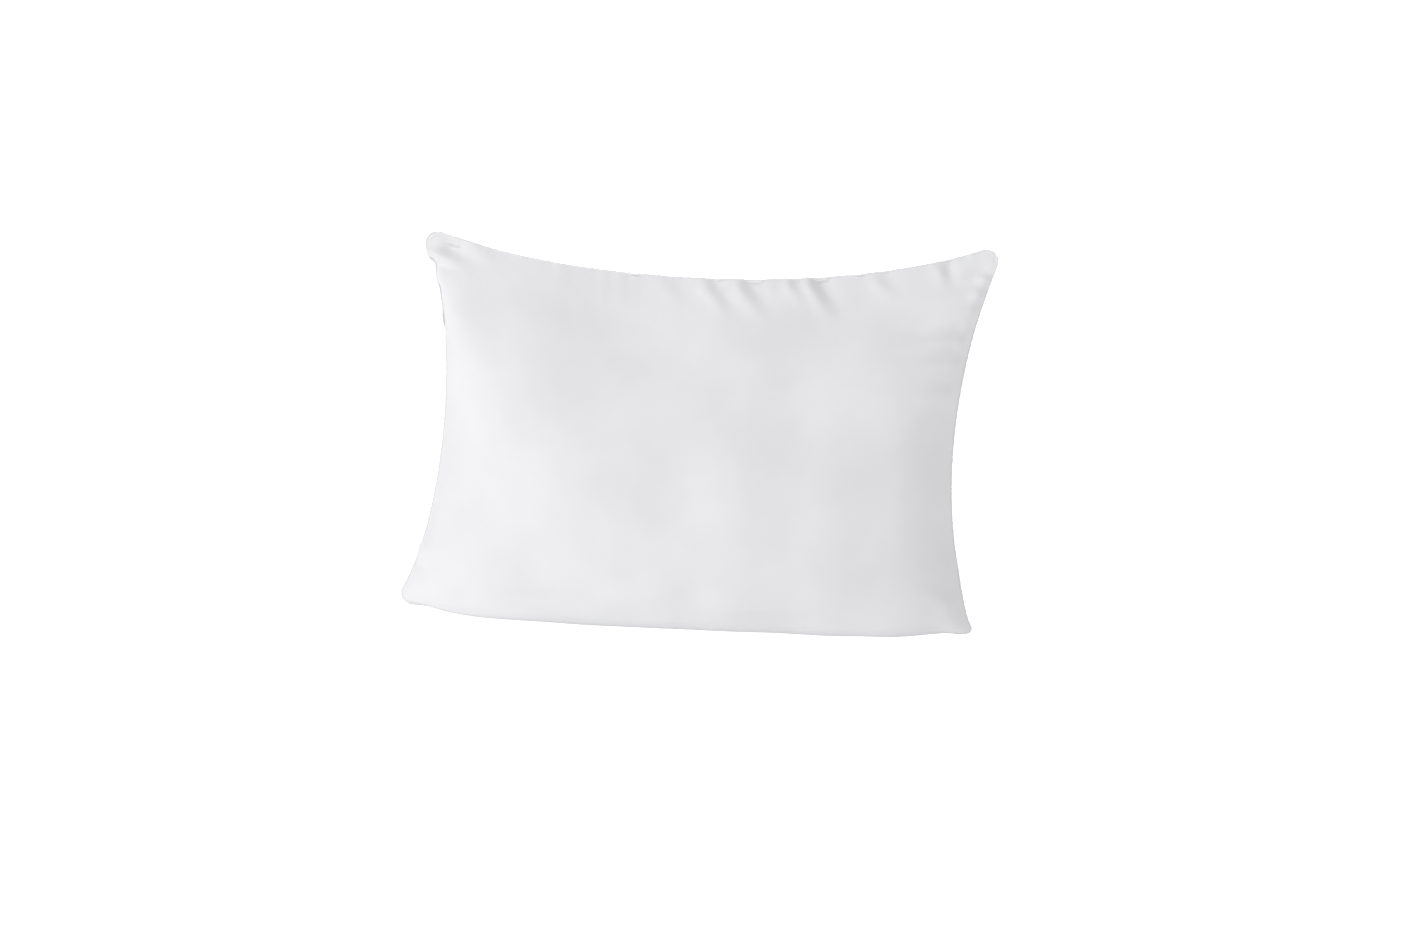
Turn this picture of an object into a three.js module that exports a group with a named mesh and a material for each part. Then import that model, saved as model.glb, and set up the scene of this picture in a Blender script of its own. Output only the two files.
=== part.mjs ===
// A filled bed pillow, standing on one of its long edges.
// Two woven cotton panels are joined right round by a piped seam whose allowances turn inwards.
// Inside lie a layer of wadding under each panel and a core of loose polyester fibre.
//
// Units are millimetres. +X runs along the long edge, +Y from the front panel to the back panel, +Z up.
// The origin is on the ground, below the middle of the pillow.

import * as THREE from 'three';

// ---------------------------------------------------------------- driving dimensions

const LENGTH = 710;           // over the piping, from the bottom left ear to the top right ear
const HEIGHT = 464;           // from the ground to the top of the ears, over the piping
const LEFT_LEAN = 26;         // how far the top left ear stands in from the bottom left one
const RIGHT_LEAN = 9;         // how far the bottom right ear stands in from the top right one
const LOFT = 204;             // thickness at the fullest place
const BELLY_HEIGHT = 118;     // height of the fullest place above the ground
const FOOT_DEPTH = 60;        // depth of the flat that the fill presses against the ground
const FOOT_LENGTH = 440;      // length of that flat
const EAR_RADIUS = 13;        // rounding of the four corners of the seam
const TOP_SAG = 44;           // how far the top edge hangs below the line between its ears
const SIDE_SAG = 36;          // how far each side edge is drawn in between its ears
const TOP_FLARE = [19, 20];   // slope of the top edge at its left and right ear, degrees
const LEFT_FLARE = [28, 24];  // slope of the left edge at its bottom and top ear, degrees
const RIGHT_FLARE = [22, 20]; // the same for the right edge

const PANEL_THICKNESS = 1;    // woven cotton
const ALLOWANCE = 10;         // fabric turned in beyond the seam
const STITCH_INSET = 4.5;     // from the mouth of the seam to the line of stitches
const LIP = 4.5;              // how far a panel stands off its own allowance
const CORD_DIAMETER = 1.4;    // filler cord of the piping
const STRIP_THICKNESS = 0.4;  // fabric strip round that cord
const THREAD = 0.5;           // sewing thread
const OVERLOCK_THICKNESS = 0.4;
const OVERLOCK_WIDTH = 3;     // reach of the overlock over the raw edges
const CLOSING_LENGTH = 260;   // filling opening in the bottom seam
const BATTING = 8;            // wadding where the pillow is fullest
const LABEL_WIDTH = 32;
const LABEL_LENGTH = 44;
const LABEL_THICKNESS = 0.4;
const LABEL_HEIGHT = 120;     // from the ground to the middle of the label
const GAP = 0.3;              // clearance between pieces that touch

// ---------------------------------------------------------------- sizes that follow from them

const COVER_STEPS = 5;        // facets round the piping
const COVER_OPENING = 0.35;   // half the gap where the strip turns into its flange, radians
const coverStep = (Math.PI - COVER_OPENING) * 2 / COVER_STEPS;
const coverInner = (CORD_DIAMETER / 2 + GAP) / Math.cos(coverStep / 2);
const coverOuter = coverInner + STRIP_THICKNESS;
const pipingCentre = coverOuter + GAP;            // from the mouth of the seam out to the cord
const pipingStand = pipingCentre + coverOuter;    // from the mouth out to the edge of the piping
const slit = GAP / 2;                             // half the gap between the layers of the flange
const flangeFace = slit + STRIP_THICKNESS;
const mouth = flangeFace + GAP;                   // half the gap between the two panels at the seam
const allowanceFace = mouth + PANEL_THICKNESS;
const overlockFace = allowanceFace + GAP + OVERLOCK_THICKNESS;
const overlockReach = ALLOWANCE + GAP + OVERLOCK_THICKNESS;
const seamLift = pipingStand + GAP;               // the piping of the bottom seam clears the ground
const belly = LOFT / 2;
const foot = FOOT_DEPTH / 2;

const EDGE_ROWS = 3;          // grid lines from the seam to the edge of the fill
const FILL_MARGIN = 2;        // from the ears and the allowances to the edge of the fill
const COLUMNS = 14;           // grid steps between the edges of the fill, along the length
const LOWER_ROWS = 5;         // from the foot up to the fullest place
const UPPER_ROWS = 5;         // from there up to the edge of the fill
const ROWS = 1 + LOWER_ROWS + UPPER_ROWS;
const lastColumn = COLUMNS + 2 * EDGE_ROWS;
const lastRow = ROWS + 2 * EDGE_ROWS;
const bellyRow = EDGE_ROWS + 1 + LOWER_ROWS;

const rad = (degrees) => degrees * Math.PI / 180;
const mix = (a, b, t) => a + (b - a) * t;
const clamp = (t) => Math.min(Math.max(t, 0), 1);
const smooth = (t) => clamp(t) ** 2 * (3 - 2 * clamp(t));

// ---------------------------------------------------------------- the seam line, in the plane y = 0

// A rounded ear: the arc from the heading of one side of the pillow to the heading of the next.
function ear(x, z, startAngle, endAngle) {
  const at = (t) => {
    const angle = mix(startAngle, endAngle, t);
    return new THREE.Vector2(x + EAR_RADIUS * Math.cos(angle), z + EAR_RADIUS * Math.sin(angle));
  };
  const tangent = (t) => {
    const angle = mix(startAngle, endAngle, t);
    return new THREE.Vector2(-Math.sin(angle), Math.cos(angle));
  };
  return { at, tangent, half: (endAngle - startAngle) * EAR_RADIUS / 2 };
}

// One side of the pillow, from the middle of one ear to the middle of the next.
// Each end is the t of the ear's arc where the side leaves it, and the flare there in degrees.
function side(earA, endA, flareA, earB, endB, flareB, sag) {
  const handle = (flare, span) => (sag > 0 ? sag / (0.75 * Math.sin(rad(flare))) : span / 3);
  const from = earA.at(endA);
  const to = earB.at(endB);
  const span = from.distanceTo(to);
  const leave = earA.tangent(endA).multiplyScalar((endA > 0.5 ? 1 : -1) * handle(flareA, span));
  const arrive = earB.tangent(endB).multiplyScalar((endB > 0.5 ? 1 : -1) * handle(flareB, span));
  const curve = new THREE.CubicBezierCurve(from, from.clone().add(leave), to.clone().add(arrive), to);
  const run = curve.getLength();
  const length = earA.half + run + earB.half;
  const at = (s) => {
    if (s < earA.half) return earA.at(mix(0.5, endA, s / earA.half));
    if (s > length - earB.half) return earB.at(mix(0.5, endB, (length - s) / earB.half));
    return curve.getPointAt(clamp((s - earA.half) / run));
  };
  // Distances of the grid lines: two on each ear, one at the edge of the fill, the rest between.
  const edgeA = Math.max(earA.half, overlockReach) + FILL_MARGIN;
  const edgeB = length - Math.max(earB.half, overlockReach) - FILL_MARGIN;
  const stops = (inner) => [
    0, earA.half / 2, earA.half,
    ...inner.map((t) => mix(edgeA, edgeB, t)),
    length - earB.half, length - earB.half / 2, length,
  ];
  return { at, length, stops };
}

const halfLength = LENGTH / 2 - pipingStand - EAR_RADIUS;
const earTop = HEIGHT - pipingStand - EAR_RADIUS;
const earFoot = seamLift + EAR_RADIUS;
const bottomLeft = ear(-halfLength, earFoot, rad(180 - LEFT_FLARE[0]), rad(270));
const bottomRight = ear(halfLength - RIGHT_LEAN, earFoot, rad(270), rad(360 + RIGHT_FLARE[0]));
const topRight = ear(halfLength, earTop, rad(-RIGHT_FLARE[1]), rad(90 + TOP_FLARE[1]));
const topLeft = ear(-halfLength + LEFT_LEAN, earTop, rad(90 - TOP_FLARE[0]), rad(180 + LEFT_FLARE[1]));

const bottomSide = side(bottomLeft, 1, 0, bottomRight, 0, 0, 0);
const topSide = side(topLeft, 0, TOP_FLARE[0], topRight, 1, TOP_FLARE[1], TOP_SAG);
const leftSide = side(bottomLeft, 0, LEFT_FLARE[0], topLeft, 1, LEFT_FLARE[1], SIDE_SAG);
const rightSide = side(bottomRight, 1, RIGHT_FLARE[0], topRight, 0, RIGHT_FLARE[1], SIDE_SAG);

// ---------------------------------------------------------------- the grid inside the seam line

const evenly = (steps) => Array.from({ length: steps + 1 }, (_, i) => i / steps);
const columnStops = evenly(COLUMNS);
// At the side seams the rows stand closer together over the foot than higher up.
const rowStops = evenly(ROWS).map((t) => t ** 1.25);

const bottomPoints = bottomSide.stops(columnStops).map(bottomSide.at);
const topPoints = topSide.stops(columnStops).map(topSide.at);
const leftPoints = leftSide.stops(rowStops).map(leftSide.at);
const rightPoints = rightSide.stops(rowStops).map(rightSide.at);
const along = topSide.stops(columnStops).map((s) => s / topSide.length);
const up = leftSide.stops(rowStops).map((s) => s / leftSide.length);

// The seam plane filled in between its four sides.
function inSeamPlane(i, j) {
  const a = along[i];
  const b = up[j];
  const flat = new THREE.Vector2();
  flat.addScaledVector(bottomPoints[i], 1 - b).addScaledVector(topPoints[i], b);
  flat.addScaledVector(leftPoints[j], 1 - a).addScaledVector(rightPoints[j], a);
  flat.addScaledVector(bottomPoints[0], -(1 - a) * (1 - b)).addScaledVector(topPoints[0], -(1 - a) * b);
  flat.addScaledVector(bottomPoints[lastColumn], -a * (1 - b)).addScaledVector(topPoints[lastColumn], -a * b);
  return flat;
}

// Depth and height of each row in the middle of the pillow, where the top seam is at height top.
const UPPER_POWER = 1.8;
const upperDepth = (t) => belly * (1 - clamp(t) ** UPPER_POWER);
function section(j, top) {
  const lip = mouth + LIP;
  const footStart = bottomLeft.half;
  const fillEdge = Math.max(footStart, overlockReach) + FILL_MARGIN;
  if (j === 0) return { depth: mouth, height: seamLift };
  if (j === 1) return { depth: lip, height: seamLift * (1 - LIP / (footStart - mouth)) };
  if (j === 2) return { depth: footStart, height: 0 };
  if (j === EDGE_ROWS) return { depth: fillEdge, height: 0 };
  if (j === EDGE_ROWS + 1) return { depth: foot, height: 0 };
  if (j <= bellyRow) {
    const turn = (j - EDGE_ROWS - 1) / LOWER_ROWS * Math.PI / 2;
    return { depth: mix(foot, belly, Math.sin(turn)), height: BELLY_HEIGHT * (1 - Math.cos(turn)) };
  }
  const below = (1 - up[j]) * leftSide.length;
  const edge = (1 - up[lastRow - EDGE_ROWS]) * leftSide.length;
  const height = j > lastRow - EDGE_ROWS ? top - below
    : mix(BELLY_HEIGHT, top - edge, (j - bellyRow) / UPPER_ROWS);
  return { depth: upperDepth((height - BELLY_HEIGHT) / (top - BELLY_HEIGHT)), height };
}

// Share of the full depth along the length, and how far a column follows the middle section.
const END_POWER = 3.4;
const END_ROUND = 0.66;
const share = (a) => (1 - Math.abs(2 * a - 1) ** END_POWER) ** END_ROUND;
const endZone = (LENGTH - FOOT_LENGTH) / 2 / LENGTH;
const follow = (a) => smooth(Math.min(a, 1 - a) / endZone);

// Outer face of the front panel: a point for each crossing of the grid.
function panelPoint(i, j) {
  const flat = inSeamPlane(i, j);
  const onSeam = i === 0 || j === 0 || i === lastColumn || j === lastRow;
  if (onSeam) return new THREE.Vector3(flat.x, -mouth, flat.y);
  const a = along[i];
  const middle = section(j, topPoints[i].y);
  const height = mix(flat.y, middle.height, follow(a));
  const b = clamp((height - seamLift) / (topPoints[i].y - seamLift));
  const drawnIn = (1 - a) * (leftSide.at(b * leftSide.length).x - mix(bottomPoints[0].x, topPoints[0].x, b))
    + a * (rightSide.at(b * rightSide.length).x - mix(bottomPoints[lastColumn].x, topPoints[lastColumn].x, b));
  const x = mix(flat.x, mix(bottomPoints[i].x, topPoints[i].x, b) + drawnIn, follow(a));
  const lip = mouth + LIP;
  const swell = Math.max(middle.depth - lip, 0) * share(a);
  return new THREE.Vector3(x, -(lip + swell), height);
}

const grid = (from, lastI, lastJ, point) => Array.from({ length: lastI - from + 1 },
  (_, i) => Array.from({ length: lastJ - from + 1 }, (_, j) => point(i + from, j + from)));

const outerFace = grid(0, lastColumn, lastRow, panelPoint);

const outward = outerFace.map((column, i) => column.map((_, j) => {
  const before = (index) => Math.max(index - 1, 0);
  const alongX = outerFace[Math.min(i + 1, lastColumn)][j].clone().sub(outerFace[before(i)][j]);
  const alongZ = outerFace[i][Math.min(j + 1, lastRow)].clone().sub(outerFace[i][before(j)]);
  return alongX.cross(alongZ).normalize();
}));

// The same face moved inwards along its normals.
const inset = (i, j, distance) => outerFace[i][j].clone().addScaledVector(outward[i][j], -distance);
const batting = (i, j) => BATTING * -outerFace[i][j].y / belly;

// ---------------------------------------------------------------- closed bodies

// Grid crossings round the edge of a grid, anticlockwise as seen from the front.
function rim(from, lastI, lastJ) {
  const crossings = [];
  for (let i = from; i < lastI; i++) crossings.push([i, from]);
  for (let j = from; j < lastJ; j++) crossings.push([lastI, j]);
  for (let i = lastI; i > from; i--) crossings.push([i, lastJ]);
  for (let j = lastJ; j > from; j--) crossings.push([from, j]);
  return crossings;
}

const pillow = new THREE.Group();

function addBody(name, material, positions, quads) {
  const geometry = new THREE.BufferGeometry();
  geometry.setAttribute('position', new THREE.Float32BufferAttribute(positions.flatMap((p) => p.toArray()), 3));
  geometry.setIndex(quads.flatMap(([a, b, c, d]) => [a, b, c, a, c, d]));
  geometry.computeVertexNormals();
  const mesh = new THREE.Mesh(geometry, material);
  mesh.name = name;
  pillow.add(mesh);
}

const mirrored = (positions) => positions.map((p) => new THREE.Vector3(p.x, -p.y, p.z));
// Turned inside out, with every quad still split along the same diagonal.
const reversed = (quads) => quads.map(([a, b, c, d]) => [a, d, c, b]);

// A body between two matching grids, with rings of points that join their edges.
function shellBetween(from, lastI, lastJ, outer, inner, rings) {
  const positions = [];
  const quads = [];
  const place = (point) => positions.push(point) - 1;
  const outerIds = grid(from, lastI, lastJ, (i, j) => place(outer(i, j)));
  const innerIds = grid(from, lastI, lastJ, (i, j) => place(inner(i, j)));
  for (let i = 0; i < lastI - from; i++) {
    for (let j = 0; j < lastJ - from; j++) {
      quads.push([outerIds[i][j], outerIds[i + 1][j], outerIds[i + 1][j + 1], outerIds[i][j + 1]]);
      quads.push([innerIds[i][j], innerIds[i][j + 1], innerIds[i + 1][j + 1], innerIds[i + 1][j]]);
    }
  }
  const edge = rim(from, lastI, lastJ);
  const loops = [
    edge.map(([i, j]) => outerIds[i - from][j - from]),
    ...rings.map((ring) => edge.map(([i, j], k) => place(ring(i, j, k)))),
    edge.map(([i, j]) => innerIds[i - from][j - from]),
  ];
  for (let n = 0; n + 1 < loops.length; n++) {
    edge.forEach((_, k) => {
      const next = (k + 1) % edge.length;
      quads.push([loops[n][next], loops[n][k], loops[n + 1][k], loops[n + 1][next]]);
    });
  }
  return { positions, quads };
}

// ---------------------------------------------------------------- the seam as a loop

const seamRim = rim(0, lastColumn, lastRow);
const seamLoop = seamRim.map(([i, j]) => inSeamPlane(i, j));
const inwards = seamLoop.map((_, k) => {
  const ahead = seamLoop[(k + 1) % seamLoop.length];
  const behind = seamLoop[(k + seamLoop.length - 1) % seamLoop.length];
  const run = ahead.clone().sub(behind).normalize();
  return new THREE.Vector2(-run.y, run.x);
});

// A point beside the seam: out beyond its mouth (in is negative) and off the seam plane.
const besideSeam = (k, out, y) => new THREE.Vector3(
  seamLoop[k].x - inwards[k].x * out, y, seamLoop[k].y - inwards[k].y * out);

// A closed ring swept round the seam. Its section is a list of [out, y], anticlockwise.
function addRing(name, material, profile) {
  const positions = seamLoop.flatMap((_, k) => profile.map(([out, y]) => besideSeam(k, out, y)));
  const sides = profile.length;
  const id = (k, s) => (k % seamLoop.length) * sides + (s % sides);
  const quads = seamLoop.flatMap((_, k) => profile.map((_, s) =>
    [id(k, s), id(k, s + 1), id(k + 1, s + 1), id(k + 1, s)]));
  addBody(name, material, positions, quads);
}

// ---------------------------------------------------------------- materials

const cloth = (color) => new THREE.MeshStandardMaterial({ color, roughness: 0.9, metalness: 0 });
const cotton = cloth('#e6e6e8');
const pipingCotton = cloth('#e2e2e5');
const sewingThread = cloth('#dcdcde');
const labelTape = cloth('#f0efea');
const wadding = cloth('#f4f4f2');

// ---------------------------------------------------------------- the two cover panels

const panel = shellBetween(0, lastColumn, lastRow,
  (i, j) => outerFace[i][j],
  (i, j) => {
    const k = seamRim.findIndex(([ri, rj]) => ri === i && rj === j);
    return k < 0 ? inset(i, j, PANEL_THICKNESS) : besideSeam(k, -PANEL_THICKNESS, -allowanceFace);
  },
  [
    (i, j, k) => besideSeam(k, -ALLOWANCE, -mouth),
    (i, j, k) => besideSeam(k, -ALLOWANCE, -allowanceFace),
  ]);
addBody('front_panel', cotton, panel.positions, panel.quads);
addBody('back_panel', cotton, mirrored(panel.positions), reversed(panel.quads));

// ---------------------------------------------------------------- wadding and fibre

const fillColumns = lastColumn - EDGE_ROWS;
const fillRows = lastRow - EDGE_ROWS;
const wad = shellBetween(EDGE_ROWS, fillColumns, fillRows,
  (i, j) => inset(i, j, PANEL_THICKNESS + GAP),
  (i, j) => inset(i, j, PANEL_THICKNESS + GAP + batting(i, j)), []);
addBody('front_batting', wadding, wad.positions, wad.quads);
addBody('back_batting', wadding, mirrored(wad.positions), reversed(wad.quads));

const coreFace = (i, j) => inset(i, j, PANEL_THICKNESS + 2 * GAP + batting(i, j));
const coreBack = (i, j) => coreFace(i, j).multiply(new THREE.Vector3(1, -1, 1));
// Between its two faces the fibre stops short of the turned-in allowances: each point of the ridge
// keeps clear of the overlock, measured from the seam point of its own column or row.
function coreRidge(i, j, y) {
  const seamI = i === EDGE_ROWS ? 0 : i === fillColumns ? lastColumn : i;
  const seamJ = j === EDGE_ROWS ? 0 : j === fillRows ? lastRow : j;
  const k = seamRim.findIndex(([ri, rj]) => ri === seamI && rj === seamJ);
  const flat = inSeamPlane(i, j);
  const reach = flat.clone().sub(seamLoop[k]).dot(inwards[k]);
  flat.addScaledVector(inwards[k], Math.max(overlockReach + FILL_MARGIN - reach, 0));
  return new THREE.Vector3(flat.x, y, flat.y);
}
const core = shellBetween(EDGE_ROWS, fillColumns, fillRows, coreFace, coreBack, [
  (i, j) => coreRidge(i, j, -(overlockFace + GAP)),
  (i, j) => coreRidge(i, j, overlockFace + GAP),
]);
addBody('fill_core', wadding, core.positions, core.quads);

// ---------------------------------------------------------------- piping

const cover = (radius) => evenly(COVER_STEPS).map((t) => {
  const angle = mix(-Math.PI + COVER_OPENING, Math.PI - COVER_OPENING, t);
  return [pipingCentre + radius * Math.cos(angle), radius * Math.sin(angle)];
});
addRing('piping_cover', pipingCotton, [
  [-ALLOWANCE, -flangeFace],
  ...cover(coverOuter),
  [-ALLOWANCE, flangeFace],
  [-ALLOWANCE, slit],
  ...cover(coverInner).reverse(),
  [-ALLOWANCE, -slit],
]);

const CORD_SIDES = 6;
addRing('piping_cord', sewingThread, evenly(CORD_SIDES).slice(1).map((t) => [
  pipingCentre + CORD_DIAMETER / 2 * Math.cos(2 * Math.PI * t),
  CORD_DIAMETER / 2 * Math.sin(2 * Math.PI * t),
]));

// ---------------------------------------------------------------- sewing threads

function threadProfile(y) {
  const r = THREAD / 2;
  return [[-STITCH_INSET + r, y - r], [-STITCH_INSET + r, y + r], [-STITCH_INSET - r, y + r], [-STITCH_INSET - r, y - r]];
}
const threadDepth = allowanceFace + GAP + THREAD / 2;
addRing('seam_needle_thread', sewingThread, threadProfile(-threadDepth));
addRing('seam_bobbin_thread', sewingThread, threadProfile(threadDepth));

const overlockStart = -ALLOWANCE + OVERLOCK_WIDTH;
const overlockInner = allowanceFace + GAP;
addRing('overlock_thread', sewingThread, [
  [overlockStart, -overlockInner],
  [-ALLOWANCE - GAP, -overlockInner],
  [-ALLOWANCE - GAP, overlockInner],
  [overlockStart, overlockInner],
  [overlockStart, overlockFace],
  [-overlockReach, overlockFace],
  [-overlockReach, -overlockFace],
  [overlockStart, -overlockFace],
]);

// The edge stitch that shuts the filling opening, in the valley beside the bottom seam.
function closingThread(name, facing) {
  const lip = section(1, 0);
  const run = new THREE.Vector2(lip.depth - mouth, lip.height - seamLift);
  const off = new THREE.Vector2(run.y, -run.x).normalize().multiplyScalar(GAP + THREAD);
  const y = facing * (mouth + run.x / 2 + off.x);
  const z = seamLift + run.y / 2 + off.y;
  const geometry = new THREE.BoxGeometry(CLOSING_LENGTH, THREAD, THREAD);
  const mesh = new THREE.Mesh(geometry, sewingThread);
  mesh.position.set(0, y, z);
  mesh.name = name;
  pillow.add(mesh);
}
closingThread('closing_needle_thread', -1);
closingThread('closing_bobbin_thread', 1);

// ---------------------------------------------------------------- care label

// A place on the back panel: distance in from its right edge, at a height above the ground.
function backPanelAt(distance, height) {
  const inside = (column) => {
    const j = column.findIndex((p, row) => row > 0 && p.z >= height);
    const t = (height - column[j - 1].z) / (column[j].z - column[j - 1].z);
    return column[j - 1].clone().lerp(column[j], t);
  };
  const points = outerFace.map(inside).reverse();
  const edge = points[0].x - distance;
  const n = points.findIndex((p) => p.x <= edge);
  const t = (edge - points[n].x) / (points[n - 1].x - points[n].x);
  return points[n].clone().lerp(points[n - 1], t).multiply(new THREE.Vector3(1, -1, 1));
}

// Depth of the back panel's facets at a point of the seam plane.
function backDepth(x, z) {
  let depth = 0;
  const facet = (a, b, c) => {
    const area = (b.x - a.x) * (c.z - a.z) - (c.x - a.x) * (b.z - a.z);
    const u = ((x - a.x) * (c.z - a.z) - (c.x - a.x) * (z - a.z)) / area;
    const v = ((b.x - a.x) * (z - a.z) - (x - a.x) * (b.z - a.z)) / area;
    const covers = Math.min(u, v, 1 - u - v) >= 0;
    if (covers) depth = Math.max(depth, -(a.y + (b.y - a.y) * u + (c.y - a.y) * v));
  };
  for (let i = 0; i < lastColumn; i++) {
    for (let j = 0; j < lastRow; j++) {
      const [a, b, c, d] = [outerFace[i][j], outerFace[i + 1][j], outerFace[i + 1][j + 1], outerFace[i][j + 1]];
      facet(a, b, c);
      facet(a, c, d);
    }
  }
  return depth;
}

// A folded tape caught in the mouth of the seam, lying back over the panel.
const LABEL_START = 1.5;      // from the mouth of the seam to the visible end of the tape
const LABEL_STEPS = [12, 4];
const tape = grid(0, ...LABEL_STEPS, (i, j) => backPanelAt(
  mix(LABEL_START, LABEL_LENGTH, i / LABEL_STEPS[0]),
  LABEL_HEIGHT + LABEL_WIDTH * (j / LABEL_STEPS[1] - 0.5)));

// How far the ridges between the panel's facets stand through those of the tape.
const SAMPLES = 4;
function standThrough(a, b, c) {
  let most = 0;
  for (const u of evenly(SAMPLES)) {
    for (const v of evenly(SAMPLES)) {
      const p = a.clone().lerp(b, u).lerp(c, v);
      most = Math.max(most, backDepth(p.x, p.z) - p.y);
    }
  }
  return most;
}
const ridges = Math.max(...grid(0, LABEL_STEPS[0] - 1, LABEL_STEPS[1] - 1, (i, j) => {
  const [a, b, c, d] = [tape[i][j], tape[i + 1][j], tape[i + 1][j + 1], tape[i][j + 1]];
  return Math.max(standThrough(a, b, c), standThrough(a, c, d));
}).flat());
const labelStand = ridges + 4 * GAP;   // on the steep part of the panel this leaves one gap

const lifted = (i, j, lift) => tape[i][j].clone().add(new THREE.Vector3(0, lift, 0));
const label = shellBetween(0, ...LABEL_STEPS,
  (i, j) => lifted(i, j, labelStand + LABEL_THICKNESS),
  (i, j) => lifted(i, j, labelStand), []);
addBody('care_label', labelTape, label.positions, label.quads);

// ---------------------------------------------------------------- origin

const extent = new THREE.Box3().setFromObject(pillow);
pillow.position.x = -(extent.min.x + extent.max.x) / 2;

export default pillow;
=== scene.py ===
import math
import bpy
import numpy as np
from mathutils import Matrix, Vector, noise


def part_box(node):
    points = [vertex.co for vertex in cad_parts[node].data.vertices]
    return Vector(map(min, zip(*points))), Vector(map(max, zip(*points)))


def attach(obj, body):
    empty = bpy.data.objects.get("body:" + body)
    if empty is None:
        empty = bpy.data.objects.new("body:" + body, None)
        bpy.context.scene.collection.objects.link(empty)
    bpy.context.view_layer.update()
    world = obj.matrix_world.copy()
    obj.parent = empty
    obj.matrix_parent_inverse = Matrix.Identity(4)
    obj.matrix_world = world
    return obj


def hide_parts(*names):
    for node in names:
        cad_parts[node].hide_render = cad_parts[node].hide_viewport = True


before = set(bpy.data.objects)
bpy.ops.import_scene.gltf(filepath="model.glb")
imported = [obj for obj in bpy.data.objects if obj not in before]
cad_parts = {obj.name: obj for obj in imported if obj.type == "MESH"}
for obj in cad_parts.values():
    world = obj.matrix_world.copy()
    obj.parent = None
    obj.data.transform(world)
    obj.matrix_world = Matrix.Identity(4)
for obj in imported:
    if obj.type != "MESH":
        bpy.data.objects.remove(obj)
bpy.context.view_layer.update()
scene = bpy.context.scene

# ---- The seam line ----------------------------------------------------------------------------
# Two rectangles of cotton are sewn together right round, with piping between them. Filled and
# stood on a long edge, the sides and the top draw in and the four rounded corners stay out as ears.
EAR_RADIUS = 0.013
LEFT_LEAN = 0.026             # how far the top left ear stands in from the bottom left one
RIGHT_LEAN = 0.009            # how far the bottom right ear stands in from the top right one
TOP_SAG = 0.044               # how far the top edge hangs below the line between its ears
SIDE_SAG = 0.036              # how far each side edge is drawn in between its ears
TOP_FLARE = (19, 20)          # slope of the top edge at its left and right ear, degrees
LEFT_FLARE = (28, 24)         # slope of the left edge at its bottom and top ear
RIGHT_FLARE = (22, 20)

panel_low, panel_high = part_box("front_panel")
piping_low, piping_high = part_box("piping_cover")
stand = piping_high.x - panel_high.x          # how far the piping stands out from the seam line
seam_foot = piping_low.z + stand              # height of the bottom seam above the ground


class Ear:
    """The arc of one rounded corner, from the heading of one side to that of the next."""

    def __init__(self, x, z, start, end):
        self.centre = np.array([x, z])
        self.start, self.end = math.radians(start), math.radians(end)

    def at(self, t):
        angle = self.start + (self.end - self.start) * np.asarray(t, float)
        return self.centre + EAR_RADIUS * np.stack([np.cos(angle), np.sin(angle)], -1)

    def heading(self, t):
        angle = self.start + (self.end - self.start) * t
        return np.array([-math.sin(angle), math.cos(angle)])


def seam_side(a, leave, b, arrive, flares=None, sag=0.0):
    """The seam from the middle of ear a to that of ear b, as a function of the share of its length.

    leave and arrive are the ends of the two arcs, 0 or 1, where the side begins and stops.
    """
    start, stop = a.at(leave), b.at(arrive)
    span = np.linalg.norm(stop - start)
    handles = [span / 3, span / 3]
    if flares:
        handles = [sag / (0.75 * math.sin(math.radians(flare))) for flare in flares]
    out = start + a.heading(leave) * (1 if leave else -1) * handles[0]
    back = stop + b.heading(arrive) * (1 if arrive else -1) * handles[1]
    t = np.linspace(0, 1, 801)[:, None]
    drawn_in = ((1 - t) ** 3 * start + 3 * (1 - t) ** 2 * t * out
                + 3 * (1 - t) * t ** 2 * back + t ** 3 * stop)
    quarter = np.linspace(0, 1, 40)[:-1]
    first = a.at(0.5 + (leave - 0.5) * quarter)
    last = b.at(arrive + (0.5 - arrive) * quarter + (0.5 - arrive) / 39)
    points = np.vstack([first, drawn_in, last])
    run = np.r_[0, np.cumsum(np.linalg.norm(np.diff(points, axis=0), axis=1))]
    return lambda share: np.stack([np.interp(share * run[-1], run, points[:, k]) for k in (0, 1)], -1)


ear_low = seam_foot + EAR_RADIUS
ear_high = panel_high.z - EAR_RADIUS
ear_left = panel_low.x + EAR_RADIUS
ear_right = panel_high.x - EAR_RADIUS
bottom_left = Ear(ear_left, ear_low, 180 - LEFT_FLARE[0], 270)
bottom_right = Ear(ear_right - RIGHT_LEAN, ear_low, 270, 360 + RIGHT_FLARE[0])
top_right = Ear(ear_right, ear_high, -RIGHT_FLARE[1], 90 + TOP_FLARE[1])
top_left = Ear(ear_left + LEFT_LEAN, ear_high, 90 - TOP_FLARE[0], 180 + LEFT_FLARE[1])
bottom_seam = seam_side(bottom_left, 1, bottom_right, 0)
top_seam = seam_side(top_left, 0, top_right, 1, TOP_FLARE, TOP_SAG)
left_seam = seam_side(bottom_left, 0, top_left, 1, LEFT_FLARE, SIDE_SAG)
right_seam = seam_side(bottom_right, 1, top_right, 0, RIGHT_FLARE, SIDE_SAG)

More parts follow.
